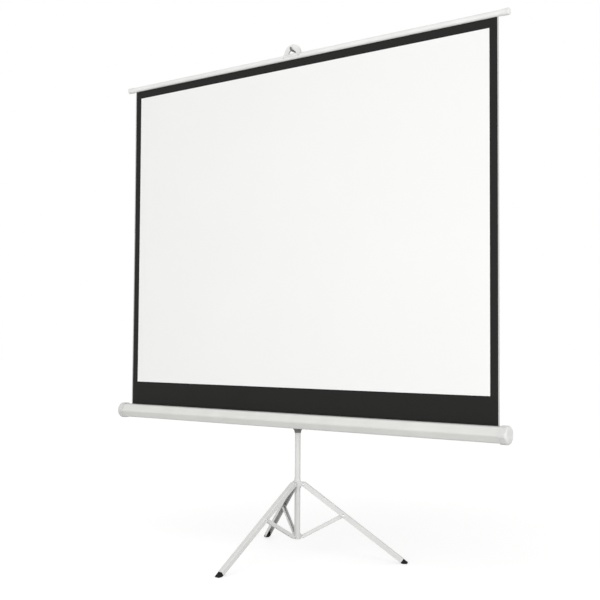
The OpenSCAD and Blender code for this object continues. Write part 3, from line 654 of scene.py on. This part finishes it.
class SCREEN_OT_stage(bpy.types.Operator):
    """Sets the camera, the white floor, the studio walls and the soft lights"""

    bl_idname = "screen.stage"
    bl_label = "Set the stage"

    def camera(self, context, s):
        data = bpy.data.cameras.new("photo camera")
        data.sensor_fit = "HORIZONTAL"
        data.sensor_width = SENSOR_WIDTH
        data.lens = s.lens
        data.clip_end = VIEW_LIMIT
        camera = bpy.data.objects.new("photo camera", data)
        context.scene.collection.objects.link(camera)
        forward = Vector((
            -math.sin(s.yaw) * math.cos(s.pitch),
            math.cos(s.yaw) * math.cos(s.pitch),
            math.sin(s.pitch),
        ))
        right = Vector((math.cos(s.yaw), math.sin(s.yaw), 0.0))
        up = right.cross(forward)
        side = right * math.cos(s.roll) + up * math.sin(s.roll)
        top = up * math.cos(s.roll) - right * math.sin(s.roll)
        turn = Matrix((side, top, -forward)).transposed().to_4x4()
        camera.matrix_world = Matrix.Translation(Vector(s.camera_place)) @ turn
        context.scene.camera = camera

    def seen_rays(self, tree):
        """1 for what the camera sees, straight, in a reflection or through a piece."""
        path = tree.nodes.new("ShaderNodeLightPath")
        seen = path.outputs["Is Camera Ray"]
        for kind in ("Is Glossy Ray", "Is Transmission Ray"):
            either = tree.nodes.new("ShaderNodeMath")
            either.operation = "MAXIMUM"
            tree.links.new(seen, either.inputs[0])
            tree.links.new(path.outputs[kind], either.inputs[1])
            seen = either.outputs[0]
        return seen

    def show(self, tree, unseen, seen, out):
        """Lights the object by one shader and shows the camera another."""
        pick = tree.nodes.new("ShaderNodeMixShader")
        tree.links.new(self.seen_rays(tree), pick.inputs[0])
        tree.links.new(unseen.outputs[0], pick.inputs[1])
        tree.links.new(seen.outputs[0], pick.inputs[2])
        tree.links.new(pick.outputs[0], out.inputs["Surface"])

    def world(self, context, s):
        world = bpy.data.worlds.new("studio")
        context.scene.world = world
        world.use_nodes = True
        tree = world.node_tree
        tree.nodes.clear()
        out = tree.nodes.new("ShaderNodeOutputWorld")
        seen = tree.nodes.new("ShaderNodeBackground")
        seen.inputs["Color"].default_value = (1.0, 1.0, 1.0, 1.0)
        seen.inputs["Strength"].default_value = 1.0
        walls = tree.nodes.new("ShaderNodeBackground")
        walls.inputs["Color"].default_value = WALL_TINT
        walls.inputs["Strength"].default_value = s.ambient
        self.show(tree, walls, seen, out)

    def floor_glow_with_painted_shade(self, tree):
        """Lifts the floor to white, less near the object, so that its shadow shows; the dimmer glow near the
        object is itself a painted shade round it.
        """
        place = tree.nodes.new("ShaderNodeTexCoord")
        reach = tree.nodes.new("ShaderNodeVectorMath")
        reach.operation = "LENGTH"
        tree.links.new(place.outputs["Object"], reach.inputs[0])
        painted_shade_level = tree.nodes.new("ShaderNodeMapRange")
        painted_shade_level.interpolation_type = "SMOOTHSTEP"
        painted_shade_level.inputs["From Min"].default_value, painted_shade_level.inputs["From Max"].default_value = (
            FLOOR_PAINTED_SHADE_REACH)
        painted_shade_level.inputs["To Min"].default_value, painted_shade_level.inputs["To Max"].default_value = FLOOR_GLOW
        tree.links.new(reach.outputs["Value"], painted_shade_level.inputs["Value"])
        glow = tree.nodes.new("ShaderNodeEmission")
        glow.inputs["Strength"].default_value = 1.0
        tree.links.new(painted_shade_level.outputs["Result"], glow.inputs["Color"])
        return glow

    def floor(self):
        deselect_all()
        bpy.ops.mesh.primitive_plane_add(size=FLOOR_SIZE, location=(0.0, 0.0, -FLOOR_DROP))
        floor = bpy.context.object
        floor.name = "studio_floor"
        look = bpy.data.materials.new("studio floor")
        look.use_nodes = True
        tree = look.node_tree
        tree.nodes.clear()
        out = tree.nodes.new("ShaderNodeOutputMaterial")
        matt = tree.nodes.new("ShaderNodeBsdfDiffuse")
        matt.inputs["Color"].default_value = FLOOR_GREY
        lifted = tree.nodes.new("ShaderNodeAddShader")
        tree.links.new(matt.outputs[0], lifted.inputs[0])
        tree.links.new(self.floor_glow_with_painted_shade(tree).outputs[0], lifted.inputs[1])
        self.show(tree, matt, lifted, out)
        floor.data.materials.append(look)

    def lamp(self, context, name, power, place, aim, size):
        data = bpy.data.lights.new(name, "AREA")
        data.shape = "RECTANGLE"
        data.size, data.size_y = size
        data.energy = power
        lamp = bpy.data.objects.new(name, data)
        context.scene.collection.objects.link(lamp)
        lamp.location = place
        lamp.rotation_euler = (Vector(aim) - Vector(place)).to_track_quat("-Z", "Y").to_euler()

    def execute(self, context):
        s = context.scene.screen_stage
        context.scene.view_settings.view_transform = "Standard"
        self.camera(context, s)
        self.world(context, s)
        self.floor()
        for name, setting, place, aim, size in LAMPS:
            self.lamp(context, name, getattr(s, setting), place, aim, size)
        return {"FINISHED"}


class SCREEN_PT_sidebar(bpy.types.Panel):
    """Lists the steps that dress the screen"""

    bl_idname = "SCREEN_PT_sidebar"
    bl_label = "Projection screen"
    bl_space_type = "VIEW_3D"
    bl_region_type = "UI"
    bl_category = "Screen"

    def draw(self, context):
        column = self.layout.column(align=True)
        for step in STEPS:
            column.operator(step.bl_idname)
        for group, _ in GROUPS:
            settings = getattr(context.scene, group)
            box = self.layout.box()
            for name in settings.__annotations__:
                box.prop(settings, name)


GROUPS = (
    ("screen_cloth", ScreenClothSettings),
    ("screen_finish", ScreenFinishSettings),
    ("screen_stage", ScreenStageSettings),
)
STEPS = (
    SCREEN_OT_hard_finishes,
    SCREEN_OT_picture_cloth,
    SCREEN_OT_drop_band,
    SCREEN_OT_wound_cloth,
    SCREEN_OT_stage,
)


def register():
    for name, group in GROUPS:
        bpy.utils.register_class(group)
        setattr(bpy.types.Scene, name, bpy.props.PointerProperty(type=group))
    for step in STEPS:
        bpy.utils.register_class(step)
    bpy.utils.register_class(SCREEN_PT_sidebar)


def unregister():
    bpy.utils.unregister_class(SCREEN_PT_sidebar)
    for step in reversed(STEPS):
        bpy.utils.unregister_class(step)
    for name, group in reversed(GROUPS):
        delattr(bpy.types.Scene, name)
        bpy.utils.unregister_class(group)


def main():
    register()
    bpy.ops.screen.hard_finishes()
    bpy.ops.screen.picture_cloth()
    bpy.ops.screen.drop_band()
    bpy.ops.screen.wound_cloth()
    bpy.ops.screen.stage()


if __name__ == "__main__":
    main()
